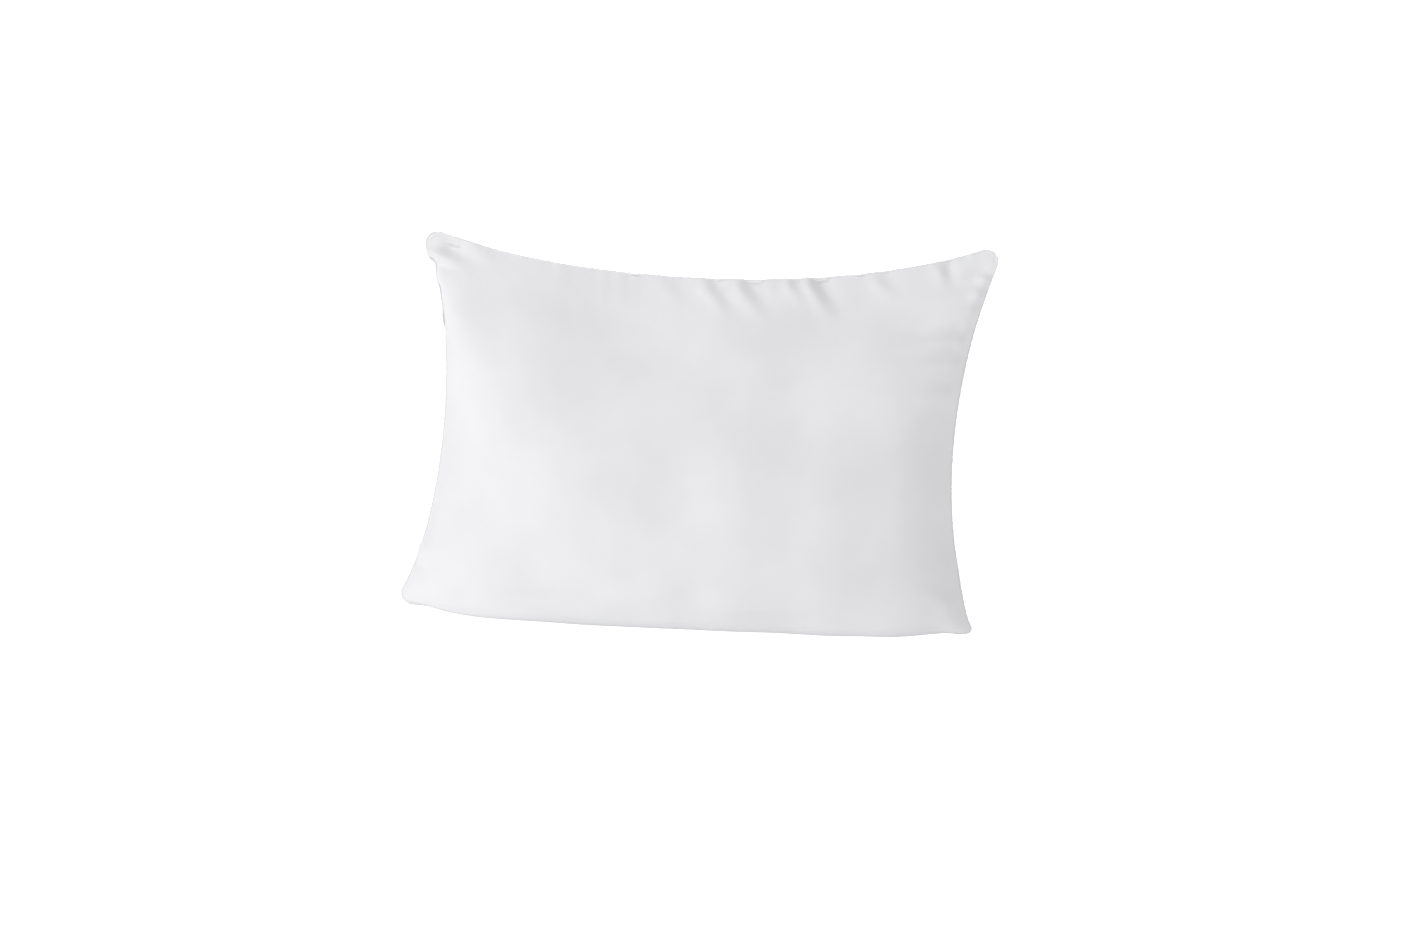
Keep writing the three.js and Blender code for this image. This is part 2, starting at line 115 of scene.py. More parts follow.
# ---- The cover, cut flat, sewn and filled -----------------------------------------------------
# Each panel is cut 762 x 508 mm with rounded corners. The cut is longer than the filled seam, so
# the cloth gathers along it. The fibre's push is the pressure of the cloth simulation: strong low
# down where the fill has slumped, and weak towards the top seam.
CUT_LENGTH, CUT_HEIGHT, CUT_CORNER = 0.762, 0.508, 0.016
CELL = 0.006
START_DEPTH = 0.085           # how far each panel is bellied out before the simulation
SEAM_WAVE = 0.0007            # unevenness of the gathered seam
FRAMES = 20
FILL_PRESSURE = 1500
FILL_TOP = 0.47               # height where the push has died away
FILL_SLUMP = 2.4              # how fast it dies away with height
LEAST_PUSH = 0.012

columns, rows = round(CUT_LENGTH / CELL), round(CUT_HEIGHT / CELL)
across, upward = np.linspace(0, 1, columns + 1), np.linspace(0, 1, rows + 1)


def bump(x, middle, width):
    return np.exp(-((x - middle) / width) ** 2)


def gathered(shares, places):
    """Shares of the filled seam for even steps of the cut, which bunch up at the given places."""
    density = np.ones_like(shares)
    for place, width, amount in places:
        density -= amount * bump(shares, place, width)
    steps = np.r_[0, np.cumsum((density[1:] + density[:-1]) / 2)]
    return steps / steps[-1]


def filled_in(bottom, top, left, right):
    """The grid between four sides: a Coons patch in the plane of the seam."""
    a, w = across[:, None, None], upward[None, :, None]
    edges = (1 - w) * bottom[:, None] + w * top[:, None] + (1 - a) * left[None] + a * right[None]
    low = (1 - a) * (1 - w) * bottom[0] + a * (1 - w) * bottom[-1]
    high = (1 - a) * w * top[0] + a * w * top[-1]
    return edges - low - high


top_gathers = [(0.13, 0.014, 0.20), (0.535, 0.012, 0.22), (0.60, 0.012, 0.22), (0.70, 0.016, 0.30),
               (0.79, 0.012, 0.15), (0.945, 0.010, 0.30)]
side_gathers = [(0.10, 0.02, 0.15), (0.72, 0.02, 0.2), (0.81, 0.02, 0.2), (0.93, 0.02, 0.25)]
sewn = filled_in(bottom_seam(across), top_seam(gathered(across, top_gathers)),
                 left_seam(gathered(upward, side_gathers)), right_seam(gathered(upward, side_gathers)))


def rounded_cut():
    """The flat cut with its four corners pulled in to an arc."""
    x, z = np.meshgrid((across - 0.5) * CUT_LENGTH, (upward - 0.5) * CUT_HEIGHT, indexing="ij")
    over_x = np.abs(x) - (CUT_LENGTH / 2 - CUT_CORNER)
    over_z = np.abs(z) - (CUT_HEIGHT / 2 - CUT_CORNER)
    corner = (over_x > 0) & (over_z > 0)
    pull = np.where(corner, np.maximum(over_x, over_z) / np.maximum(np.hypot(over_x, over_z), 1e-9), 1)
    x = np.where(corner, np.sign(x) * (CUT_LENGTH / 2 - CUT_CORNER + over_x * pull), x)
    z = np.where(corner, np.sign(z) * (CUT_HEIGHT / 2 - CUT_CORNER + over_z * pull), z)
    return np.stack([x, z], -1)


flat = rounded_cut()
count = (columns + 1) * (rows + 1)
front_ids = np.arange(count).reshape(columns + 1, rows + 1)
inner = np.zeros_like(front_ids, bool)
inner[1:-1, 1:-1] = True
back_ids = front_ids.copy()
back_ids[inner] = count + np.arange(inner.sum())
edge_ids = np.concatenate([front_ids[:-1, 0], front_ids[-1, :-1],
                           front_ids[:0:-1, -1], front_ids[0, :0:-1]])


def both_panels(places, depth):
    """Points of the front panel and then of the back panel, which share the points of the seam."""
    front = np.stack([places[..., 0], -depth, places[..., 1]], -1).reshape(-1, 3)
    back = np.stack([places[..., 0], depth, places[..., 1]], -1)[inner]
    return np.vstack([front, back])


def uneven(shares, waves, shortest, longest, random):
    """A smooth uneven line round the seam: a sum of whole waves between two lengths in metres."""
    total = np.zeros_like(shares)
    for _ in range(waves):
        turns = round(2 * (CUT_LENGTH + CUT_HEIGHT) / random.uniform(shortest, longest))
        total += np.cos(2 * math.pi * (turns * shares + random.uniform(0, 1)))
    return total / math.sqrt(waves / 2)


def panel_faces(ids, flip):
    quads = np.stack([ids[:-1, :-1], ids[1:, :-1], ids[1:, 1:], ids[:-1, 1:]], -1).reshape(-1, 4)
    return (quads[:, ::-1] if flip else quads).tolist()


def simulated_cover():
    """Sews the cut into the seam line, fills it and lets it settle. Returns all its points."""
    belly = (1 - np.abs(2 * across - 1) ** 3)[:, None] ** 0.6
    belly = START_DEPTH * belly * (1 - np.abs(2 * upward ** 0.8 - 1) ** 2.2)[None, :] ** 0.6
    start = both_panels(sewn, belly * inner)
    random = np.random.default_rng(7)
    round_seam = np.linspace(0, 1, len(edge_ids), endpoint=False)
    fine = uneven(round_seam, 24, 0.012, 0.040, random)
    strength = 0.55 + 0.45 * np.clip(uneven(round_seam, 6, 0.2, 0.6, random), -1, 1)
    start[edge_ids, 1] += SEAM_WAVE * fine * strength

    mesh = bpy.data.meshes.new("cover_simulation")
    mesh.from_pydata(start.tolist(), [], panel_faces(front_ids, False) + panel_faces(back_ids, True))
    cover = bpy.data.objects.new("cover_simulation", mesh)
    scene.collection.objects.link(cover)
    cover.shape_key_add(name="sewn")
    cut = cover.shape_key_add(name="cut")
    cut.data.foreach_set("co", both_panels(flat, np.zeros_like(flat[..., 0])).ravel())
    cut.value = 0
    pin = cover.vertex_groups.new(name="pin")
    pin.add(front_ids[~inner].tolist(), 1.0, "REPLACE")
    push = cover.vertex_groups.new(name="push")
    for i, height in enumerate(start[:, 2]):
        share = LEAST_PUSH + (1 - LEAST_PUSH) * max(0.0, 1 - height / FILL_TOP) ** FILL_SLUMP
        push.add([i], float(min(share, 1)), "REPLACE")

    ground_mesh = bpy.data.meshes.new("cover_ground")
    ground_mesh.from_pydata([(-2, -2, 0), (2, -2, 0), (2, 2, 0), (-2, 2, 0)], [], [(0, 1, 2, 3)])
    ground = bpy.data.objects.new("cover_ground", ground_mesh)
    scene.collection.objects.link(ground)
    ground.modifiers.new("Collision", "COLLISION")
    ground.collision.thickness_outer = 0.001
    ground.collision.cloth_friction = 5
    ground.collision.damping = 0.5

    cloth = cover.modifiers.new("Cloth", "CLOTH")
    fabric = cloth.settings
    fabric.quality = 6
    fabric.mass = 0.003
    fabric.air_damping = 0.5
    fabric.tension_stiffness = 15
    fabric.compression_stiffness = 1
    fabric.shear_stiffness = 0.5
    fabric.bending_stiffness = 0.001
    fabric.tension_damping = fabric.compression_damping = fabric.shear_damping = 1
    fabric.bending_damping = 0.5
    fabric.use_pressure = True
    fabric.uniform_pressure_force = FILL_PRESSURE
    fabric.vertex_group_mass = "pin"
    fabric.vertex_group_pressure = "push"
    fabric.pin_stiffness = 1
    fabric.rest_shape_key = cut
    cloth.collision_settings.distance_min = 0.001
    cloth.point_cache.frame_start, cloth.point_cache.frame_end = 1, FRAMES
    for number in range(1, FRAMES + 1):
        scene.frame_set(number)
    settled = cover.evaluated_get(bpy.context.evaluated_depsgraph_get()).data
    points = np.empty(len(settled.vertices) * 3)
    settled.vertices.foreach_get("co", points)
    for used in (cover, ground):
        data = used.data
        bpy.data.objects.remove(used)
        bpy.data.meshes.remove(data)
    scene.frame_set(1)
    return points.reshape(-1, 3)


# The fill presses the bottom of both panels flat on the ground, between the two bottom ears.
FOOT_DROP = 0.016             # how far the fullest part of the foot comes down
FOOT_TOP = 0.095              # height that no longer comes down
FOOT_END = 0.12               # length over which the flat dies out towards each ear
SOLE = 0.0010                 # height of the flat above the ground
SEAM_FLAT = 0.008             # distance from the seam line where the press takes full hold
FOOT_FULL = 0.014             # height up to which the cloth comes down all the way
FOOT_BLEND = 0.004            # softness of the turn from the flat into the panel
EAR_LIFT = 0.003              # how far the left ear is lifted
EAR_TURN = 0.009              # how far the right ear lies forwards
EAR_PRESS = 0.6               # share of its height that the right ear loses
EAR_SOLE = 0.0030             # height of the seam where it lies lowest


def smooth(t):
    t = np.clip(t, 0, 1)
    return t * t * (3 - 2 * t)


def stood_up(points):
    """Presses the foot to the ground, and bends the two bottom ears as they lie."""
    x, y, z = points.T
    ends = smooth((x - panel_low.x) / FOOT_END) * smooth((panel_high.x - x) / FOOT_END)
    off_seam = smooth(np.abs(y) / SEAM_FLAT)
    still = smooth((z - FOOT_FULL) / (FOOT_TOP - FOOT_FULL))
    above = z - FOOT_DROP * ends * off_seam * (1 - still) - SOLE
    soft = (above + np.sqrt(above ** 2 + FOOT_BLEND ** 2 * off_seam)) / 2 + SOLE
    z = np.where(off_seam > 0, np.minimum(soft, z), z)
    # The left ear is lifted a little, and the right one lies forwards, flattened to a point.
    near_left = smooth((-0.28 - x) / 0.07) * (1 - smooth(z / 0.12))
    z = z + EAR_LIFT * near_left
    near_right = smooth((x - 0.29) / 0.05) * (1 - smooth(z / 0.08))
    y = y - EAR_TURN * near_right
    z = z - EAR_PRESS * near_right * np.maximum(z - EAR_SOLE, 0)
    return np.stack([x, y, z], -1)


def finer(grid):
    """A grid with half the spacing, on the smooth surface of the first (cubic splines both ways)."""
    for axis in (0, 1):
        points = np.moveaxis(grid, axis, 0)
        fine = np.empty((2 * len(points) - 1,) + points.shape[1:])
        fine[::2], fine[1::2] = points, (points[1:] + points[:-1]) / 2
        fine[2:-1:2] = (points[:-2] + 6 * points[1:-1] + points[2:]) / 8
        grid = np.moveaxis(fine, 0, axis)
    return grid


def outward(grid, facing):
    """Unit normals of a panel's grid, away from the fill. facing is -1 in front and 1 behind."""
    normal = -facing * np.cross(np.gradient(grid, axis=0), np.gradient(grid, axis=1))
    return normal / np.maximum(np.linalg.norm(normal, axis=-1, keepdims=True), 1e-12)


cover_points = stood_up(simulated_cover())
FRONT, BACK = -1, 1
grids = {FRONT: finer(cover_points[front_ids]), BACK: finer(cover_points[back_ids])}
fine_flat = finer(flat)

# Where the cloth is eased into the seam it stands in short creases, a valley beside a ridge. Each
# has a start on the seam and an end in the panel, as x and height, then its width and its depth. A
# negative depth puts the ridge on the valley's other side.
CREASES = {
    FRONT: [
        ((0.128, 0.428), (0.176, 0.366), 0.0120, -0.0060),
        ((0.104, 0.424), (0.140, 0.382), 0.0090, -0.0036),
        ((0.046, 0.421), (0.098, 0.362), 0.0120, -0.0042),
        ((0.006, 0.421), (0.052, 0.366), 0.0110, -0.0036),
        ((-0.044, 0.423), (-0.006, 0.380), 0.0130, -0.0018),
        ((0.205, 0.432), (0.246, 0.398), 0.0100, -0.0024),
        ((0.284, 0.449), (0.300, 0.408), 0.0095, -0.0046),
        ((0.348, 0.434), (0.296, 0.424), 0.0085, 0.0040),
        ((0.340, 0.420), (0.258, 0.396), 0.0110, 0.0048),
        ((0.332, 0.402), (0.256, 0.376), 0.0120, 0.0042),
        ((0.322, 0.362), (0.222, 0.352), 0.0110, 0.0036),
        ((0.318, 0.338), (0.242, 0.324), 0.0120, 0.0036),
        ((0.310, 0.300), (0.252, 0.290), 0.0130, 0.0024),
        ((-0.340, 0.434), (-0.268, 0.418), 0.0085, 0.0056),
        ((-0.304, 0.458), (-0.236, 0.418), 0.0130, 0.0050),
        ((-0.330, 0.404), (-0.296, 0.394), 0.0070, 0.0030),
        ((-0.340, 0.060), (-0.270, 0.086), 0.0140, 0.0028),
        ((0.326, 0.040), (0.262, 0.080), 0.0130, 0.0024),
    ],
    BACK: [
        ((0.205, 0.430), (0.172, 0.376), 0.0110, 0.0060),
        ((0.090, 0.423), (0.064, 0.378), 0.0100, 0.0040),
        ((-0.060, 0.424), (-0.090, 0.372), 0.0110, 0.0055),
        ((-0.210, 0.434), (-0.192, 0.394), 0.0090, 0.0030),
        ((0.314, 0.330), (0.252, 0.316), 0.0100, 0.0038),
        ((-0.324, 0.352), (-0.260, 0.344), 0.0100, 0.0036),
        ((-0.340, 0.432), (-0.282, 0.416), 0.0080, 0.0048),
        ((0.340, 0.426), (0.282, 0.410), 0.0085, 0.0044),
    ],
}
# Elsewhere the fill lies a little unevenly, in soft hollows and low mounds: x and height, then half
# widths, then the depth, which is negative for a mound.
HOLLOWS = {
    FRONT: [((-0.160, 0.034), (0.062, 0.015), 0.0050), ((-0.060, 0.026), (0.040, 0.012), 0.0030),
            ((0.012, 0.046), (0.026, 0.024), 0.0046), ((0.115, 0.022), (0.070, 0.012), 0.0040),
            ((0.130, 0.245), (0.060, 0.034), 0.0040), ((0.255, 0.375), (0.045, 0.030), 0.0040),
            ((-0.215, 0.395), (0.080, 0.030), 0.0040), ((-0.070, 0.330), (0.090, 0.040), 0.0040),
            ((0.220, 0.110), (0.040, 0.080), 0.0030), ((0.060, 0.170), (0.030, 0.080), -0.0026),
            ((0.060, 0.330), (0.050, 0.028), -0.0030), ((-0.040, 0.235), (0.020, 0.014), 0.0014)],
    BACK: [((0.140, 0.050), (0.070, 0.022), 0.0022), ((-0.150, 0.230), (0.070, 0.050), 0.0020),
           ((0.200, 0.390), (0.060, 0.028), 0.0022)],
}
LUMP, LUMP_SIZE = 0.0015, 0.070       # height and spacing of the lumps in the fibre
LUMP_EDGE = 0.04              # distance from the seam plane where the lumps have their full height
CREASE_START = 0.016          # length over which a crease rises beside the stitching
EVEN_PEAK = 2.33              # makes the highest point of a valley and ridge 1


def creased(grid, facing):
    push = np.zeros(grid.shape[:2])
    for start, end, width, depth in CREASES[facing]:
        start, along = np.array(start), np.subtract(end, start)
        length = np.linalg.norm(along)
        along = along / length
        away = grid[..., [0, 2]] - start
        run = away @ along
        off = (away @ np.array([-along[1], along[0]])) / width
        fade = smooth(run / CREASE_START) * (1 - smooth(run / length))
        push += depth * EVEN_PEAK * fade * off * np.exp(-off ** 2)
    for place, size, depth in HOLLOWS[facing]:
        away = (grid[..., [0, 2]] - place) / size
        push -= depth * np.exp(-(away ** 2).sum(-1))
    filled = smooth(np.abs(grid[..., 1]) / LUMP_EDGE)
    lumps = [noise.noise(Vector(point) / LUMP_SIZE) for point in grid.reshape(-1, 3)]
    push += LUMP * np.reshape(lumps, push.shape) * filled
    return grid + outward(grid, facing) * push[..., None]


for facing in (FRONT, BACK):
    grids[facing] = creased(grids[facing], facing)

# ---- Weave ------------------------------------------------------------------------------------
# Every fabric of the pillow is woven, so one effect serves them all: threads that cross over and
# under, slubs where a thread is thicker, and slow patches of tone from washing and handling. The
# colour is also darkened where the threads dip, which is painted shade between them.
PLAIN_WEAVE = bpy.data.node_groups.new("plain_weave", "ShaderNodeTree")


def socket(group, way, name, kind, default=None):
    made = group.interface.new_socket(name=name, in_out=way, socket_type=kind)
    if default is not None:
        made.default_value = default


def node(tree, kind, inputs=None, **settings):
    """A new node with its settings, its inputs linked to sockets or set to values."""
    made = tree.nodes.new(kind)
    for name, value in settings.items():
        setattr(made, name, value)
    for key, value in (inputs or {}).items():
        if isinstance(value, bpy.types.NodeSocket):
            tree.links.new(value, made.inputs[key])
        else:
            made.inputs[key].default_value = value
    return made


def plain_weave(tree):
    socket(tree, "INPUT", "Cloth Position", "NodeSocketVector")
    socket(tree, "INPUT", "Thread Spacing", "NodeSocketFloat", 0.0005)
    socket(tree, "INPUT", "Slubs", "NodeSocketFloat", 0.5)
    socket(tree, "INPUT", "Colour", "NodeSocketColor", (0.8, 0.8, 0.8, 1))
    socket(tree, "INPUT", "Patch Colour", "NodeSocketColor", (0.75, 0.75, 0.75, 1))
    socket(tree, "OUTPUT", "Colour", "NodeSocketColor")
    socket(tree, "OUTPUT", "Height", "NodeSocketFloat")
    socket(tree, "OUTPUT", "Roughness", "NodeSocketFloat")
    given = tree.nodes.new("NodeGroupInput").outputs
    turns = node(tree, "ShaderNodeMath", {0: math.pi, 1: given["Thread Spacing"]}, operation="DIVIDE")
    place = node(tree, "ShaderNodeVectorMath", {0: given["Cloth Position"], "Scale": turns.outputs[0]},
                 operation="SCALE")
    split = node(tree, "ShaderNodeSeparateXYZ", {0: place.outputs[0]})
    warp = node(tree, "ShaderNodeMath", {0: split.outputs[0]}, operation="SINE")
    weft = node(tree, "ShaderNodeMath", {0: split.outputs[1]}, operation="SINE")
    crossing = node(tree, "ShaderNodeMath", {0: warp.outputs[0], 1: weft.outputs[0]},
                    operation="MULTIPLY")
    streaks = []
    for stretch in ((40, 1400, 1), (1400, 40, 1)):
        long = node(tree, "ShaderNodeVectorMath", {0: given["Cloth Position"], 1: stretch},
                    operation="MULTIPLY")
        streaks.append(node(tree, "ShaderNodeTexNoise",
                            {"Vector": long.outputs[0], "Scale": 1.0, "Detail": 1.0}))
    slub = node(tree, "ShaderNodeMath", {0: streaks[0].outputs[0], 1: streaks[1].outputs[0]},
                operation="ADD")
    slub = node(tree, "ShaderNodeMath", {0: slub.outputs[0], 1: given["Slubs"]}, operation="MULTIPLY")
    height = node(tree, "ShaderNodeMath", {0: crossing.outputs[0], 1: slub.outputs[0]}, operation="ADD")
    patches = node(tree, "ShaderNodeTexNoise",
                   {"Vector": given["Cloth Position"], "Scale": 7.0, "Detail": 3.0})
    spread = node(tree, "ShaderNodeMapRange", {0: patches.outputs[0], 1: 0.35, 2: 0.7})
    toned = node(tree, "ShaderNodeMix",
                 {0: spread.outputs[0], 6: given["Colour"], 7: given["Patch Colour"]}, data_type="RGBA")
    # Painted shade: the colour is darkened by up to 3.5 % where the weave's height is low, between the
    # threads.
    painted_thread_shade = node(tree, "ShaderNodeMapRange", {0: height.outputs[0], 1: -1.0, 2: 1.0, 3: 0.965, 4: 1.0})
    shaded = node(tree, "ShaderNodeMix", {0: 1.0, 6: toned.outputs[2], 7: painted_thread_shade.outputs[0]},
                  data_type="RGBA", blend_type="MULTIPLY")
    rough = node(tree, "ShaderNodeMapRange", {0: height.outputs[0], 1: -1.0, 2: 1.5, 3: 0.92, 4: 0.74})
    node(tree, "NodeGroupOutput", {"Colour": shaded.outputs[2], "Height": height.outputs[0],
                                   "Roughness": rough.outputs[0]})


plain_weave(PLAIN_WEAVE)


def woven(name, colour, patch, spacing, slubs, strength, relief, sheen):
    """A woven fabric. Its threads follow the piece's map, which is in metres of cloth."""
    material = bpy.data.materials.new(name)
    material.use_nodes = True
    tree = material.node_tree
    shader = tree.nodes["Principled BSDF"]
    place = node(tree, "ShaderNodeUVMap", uv_map="cloth")
    weave = node(tree, "ShaderNodeGroup", node_tree=PLAIN_WEAVE)
    tree.links.new(place.outputs[0], weave.inputs["Cloth Position"])
    for key, value in {"Thread Spacing": spacing, "Slubs": slubs, "Colour": (*colour, 1),
                       "Patch Colour": (*patch, 1)}.items():
        weave.inputs[key].default_value = value
    raised = node(tree, "ShaderNodeBump", {"Height": weave.outputs["Height"], "Strength": strength,
                                           "Distance": relief})
    tree.links.new(weave.outputs["Colour"], shader.inputs["Base Color"])
    tree.links.new(weave.outputs["Roughness"], shader.inputs["Roughness"])
    tree.links.new(raised.outputs[0], shader.inputs["Normal"])
    shader.inputs["Sheen Weight"].default_value = sheen
    shader.inputs["Sheen Roughness"].default_value = 0.4
    shader.inputs["Specular IOR Level"].default_value = 0.25
    return material


# ---- Cover panels -----------------------------------------------------------------------------
# The front and back of the cover: white downproof cotton, woven plain and tight. Along the seam
# each panel folds back on itself, and 10 mm of it lies inside as the seam allowance.
FABRIC = 0.0005
MOUTH = 0.0005                # half the gap between the panels, which holds the piping's flange
ALLOWANCE = 0.010
percale = woven("white_percale", (0.81, 0.81, 0.825), (0.755, 0.755, 0.767), spacing=0.00045,
                slubs=0.5, strength=0.25, relief=0.00006, sheen=0.15)


def round_edge(grid):
    """The points round the edge of a grid, anticlockwise as seen from the front."""
    return np.concatenate([grid[:-1, 0], grid[-1, :-1], grid[:0:-1, -1], grid[0, :0:-1]])


seam = (round_edge(grids[FRONT]) + round_edge(grids[BACK])) / 2
seam_run = np.roll(seam, -1, axis=0) - np.roll(seam, 1, axis=0)
inwards = np.stack([-seam_run[:, 2], np.zeros(len(seam)), seam_run[:, 0]], -1)
inwards /= np.linalg.norm(inwards, axis=1, keepdims=True)
OFF_PLANE = np.array([0.0, 1.0, 0.0])


def piece(name, points, faces, material, places=None):
    """A smooth mesh piece. places gives each point its place on the flat cloth, in metres."""
    mesh = bpy.data.meshes.new(name)
    mesh.from_pydata(np.asarray(points).tolist(), [], faces)
    mesh.polygons.foreach_set("use_smooth", [True] * len(mesh.polygons))
    if places is not None:
        corners = np.empty(len(mesh.loops), int)
        mesh.loops.foreach_get("vertex_index", corners)
        mesh.uv_layers.new(name="cloth").uv.foreach_set("vector", np.asarray(places)[corners].ravel())
    mesh.materials.append(material)
    mesh.update()
    made = bpy.data.objects.new(name, mesh)
    scene.collection.objects.link(made)
    return made


def panel(name, node_name, facing):
    grid = grids[facing] + facing * MOUTH * OFF_PLANE
    size = grid.shape[0] * grid.shape[1]
    ids = np.arange(size).reshape(grid.shape[:2])
    rings, ring_ids, ring_places = [], [round_edge(ids)], []
    edge_places = round_edge(cut_places)
    for number, reach in enumerate((ALLOWANCE / 2, ALLOWANCE)):
        rings.append(seam + inwards * reach + facing * MOUTH * OFF_PLANE)
        ring_ids.append(size + number * len(seam) + np.arange(len(seam)))
        ring_places.append(edge_places * (1 + reach / CUT_LENGTH))
    faces = panel_faces(ids, facing == BACK)
    for outer, inner_ring in zip(ring_ids, ring_ids[1:]):
        strip = np.stack([outer, inner_ring, np.roll(inner_ring, -1), np.roll(outer, -1)], -1)
        faces += (strip if facing == FRONT else strip[:, ::-1]).tolist()
    made = piece(name, np.vstack([grid.reshape(-1, 3), *rings]), faces, percale,
                 np.vstack([cut_places.reshape(-1, 2), *ring_places]))
    on_seam = set(ring_ids[0].tolist())
    for edge in made.data.edges:
        edge.use_edge_sharp = on_seam.issuperset(edge.vertices)
    thick = made.modifiers.new("Fabric", "SOLIDIFY")
    thick.thickness, thick.offset = FABRIC, -1
    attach(made, "root")
    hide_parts(node_name)


cut_places = fine_flat + (CUT_LENGTH / 2, CUT_HEIGHT / 2)
panel("front_cloth", "front_panel", FRONT)
panel("back_cloth", "back_panel", BACK)

# ---- Piping -----------------------------------------------------------------------------------
# A soft cotton cord in a strip of bias-cut cotton, sewn into the seam right round. The strip's two
# edges run in between the panels as a flange, and the covered cord stands out as a thin round rim.
PIPING_RADIUS = 0.0011
STRIP = 0.0004
CORD_RADIUS = 0.00065
PIPING_SIDES = 20
FLANGE_GAP = 0.35             # half the angle where the strip turns into its flange, radians
PIPING_OUT = 0.0004           # from the mouth of the seam out to the middle of the cord
PUCKER = 0.00016              # unevenness of the strip over the cord
piping_cotton = woven("piping_cotton", (0.79, 0.79, 0.805), (0.765, 0.765, 0.78), spacing=0.0005,
                      slubs=0.7, strength=0.3, relief=0.00008, sheen=0.1)
piping_filler = woven("piping_filler", (0.82, 0.81, 0.78), (0.78, 0.77, 0.73), spacing=0.0009,
                      slubs=1.0, strength=0.5, relief=0.0002, sheen=0.1)


def swept_ring(name, material, sections, bias=0.0):
    """A closed ring round the seam. sections holds (out, off the seam plane) for each seam point."""
    out, off = sections[..., :1], sections[..., 1:]
    points = seam[:, None] - inwards[:, None] * out + OFF_PLANE * off
    turns, sides = sections.shape[:2]
    k, s = np.meshgrid(np.arange(turns), np.arange(sides), indexing="ij")
    corners = [(k, s), (k, s + 1), (k + 1, s + 1), (k + 1, s)]
    faces = np.stack([(i % turns) * sides + j % sides for i, j in corners], -1).reshape(-1, 4)
    pace = np.linalg.norm(np.diff(seam, axis=0), axis=1).mean()
    steps_round = np.diff(sections[0], axis=0, append=sections[0][:1])
    around = np.r_[0, np.cumsum(np.linalg.norm(steps_round, axis=1))]
    place = np.stack([np.stack([i * pace, around[j]], -1) for i, j in corners], -2).reshape(-1, 2)
    lean = np.array([[math.cos(bias), -math.sin(bias)], [math.sin(bias), math.cos(bias)]])
    return piece(name, points.reshape(-1, 3), faces.tolist(), material, place @ lean)


def joined(made, node_name):
    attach(made, "root")
    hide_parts(node_name)


def piping_section(radius, turned):
    return np.array([(PIPING_OUT + radius * math.cos(a), radius * math.sin(a)) for a in turned])


seam_share = np.linspace(0, 1, len(seam), endpoint=False)
piping_random = np.random.default_rng(11)
swell = 1 + PUCKER / PIPING_RADIUS * uneven(seam_share, 40, 0.006, 0.016, piping_random)
angles = np.linspace(-math.pi + FLANGE_GAP, math.pi - FLANGE_GAP, PIPING_SIDES)
outside = piping_section(PIPING_RADIUS, angles)
inside = piping_section(PIPING_RADIUS - STRIP, angles[::-1])
SLIT = 0.0001                 # half the gap between the two layers of the flange
strip_section = np.vstack([[(-ALLOWANCE, -SLIT - STRIP)], outside, [(-ALLOWANCE, SLIT + STRIP)],
                           [(-ALLOWANCE, SLIT)], inside, [(-ALLOWANCE, -SLIT)]])
strip_sections = np.repeat(strip_section[None], len(seam), axis=0)
round_part = slice(1, 1 + PIPING_SIDES)
centre = np.array([PIPING_OUT, 0])
strip_sections[:, round_part] = centre + (strip_sections[:, round_part] - centre) * swell[:, None, None]
joined(swept_ring("piping_strip", piping_cotton, strip_sections, bias=math.pi / 4),
       "piping_cover")

STRANDS, TWISTS = 3, 260      # the cord is three strands, laid with this many turns round the seam
cord_angles = np.linspace(0, 2 * math.pi, 12, endpoint=False)
lobes = 0.94 + 0.06 * np.cos(STRANDS * cord_angles[None] - 2 * math.pi * TWISTS * seam_share[:, None])
cord_radii = CORD_RADIUS * lobes
cord_sections = np.stack([PIPING_OUT + cord_radii * np.cos(cord_angles),
                          cord_radii * np.sin(cord_angles)], -1)
joined(swept_ring("piping_filler_cord", piping_filler, cord_sections), "piping_cord")

# ---- Sewing threads ---------------------------------------------------------------------------
# Spun polyester. A lockstitch joins the panels and the piping 4.5 mm in from the mouth of the seam:
# the needle thread lies on one allowance and the bobbin thread on the other. An overlock stitch
# wraps the raw edges. None of it shows from outside.
THREAD_RADIUS = 0.00022
STITCH_INSET = 0.0045
STITCH = 0.0028
THREAD_SIDES = 5


def thread_material():
    """Two plies twisted together, with a slight shine: diagonal ridges along the thread, with painted shade
    in the grooves between them.
    """
    material = bpy.data.materials.new("sewing_thread")
    material.use_nodes = True
    tree = material.node_tree
    shader = tree.nodes["Principled BSDF"]
    place = node(tree, "ShaderNodeUVMap", uv_map="cloth")
    twist = node(tree, "ShaderNodeTexWave", {"Vector": place.outputs[0], "Scale": 900.0, "Distortion": 0.6},
                 bands_direction="DIAGONAL")
    # Painted shade: the colour is darker where the twist's ridges dip, in the grooves between the plies.
    painted_hollow_shade = node(tree, "ShaderNodeMix", {0: twist.outputs["Fac"], 6: (0.70, 0.70, 0.71, 1),
                                        7: (0.82, 0.82, 0.83, 1)}, data_type="RGBA")
    ridge = node(tree, "ShaderNodeBump",
                 {"Height": twist.outputs["Fac"], "Strength": 0.5, "Distance": 0.0001})
    tree.links.new(painted_hollow_shade.outputs[2], shader.inputs["Base Color"])
    tree.links.new(ridge.outputs[0], shader.inputs["Normal"])
    shader.inputs["Roughness"].default_value = 0.45
    shader.inputs["Sheen Weight"].default_value = 0.2
    return material


sewing_thread = thread_material()


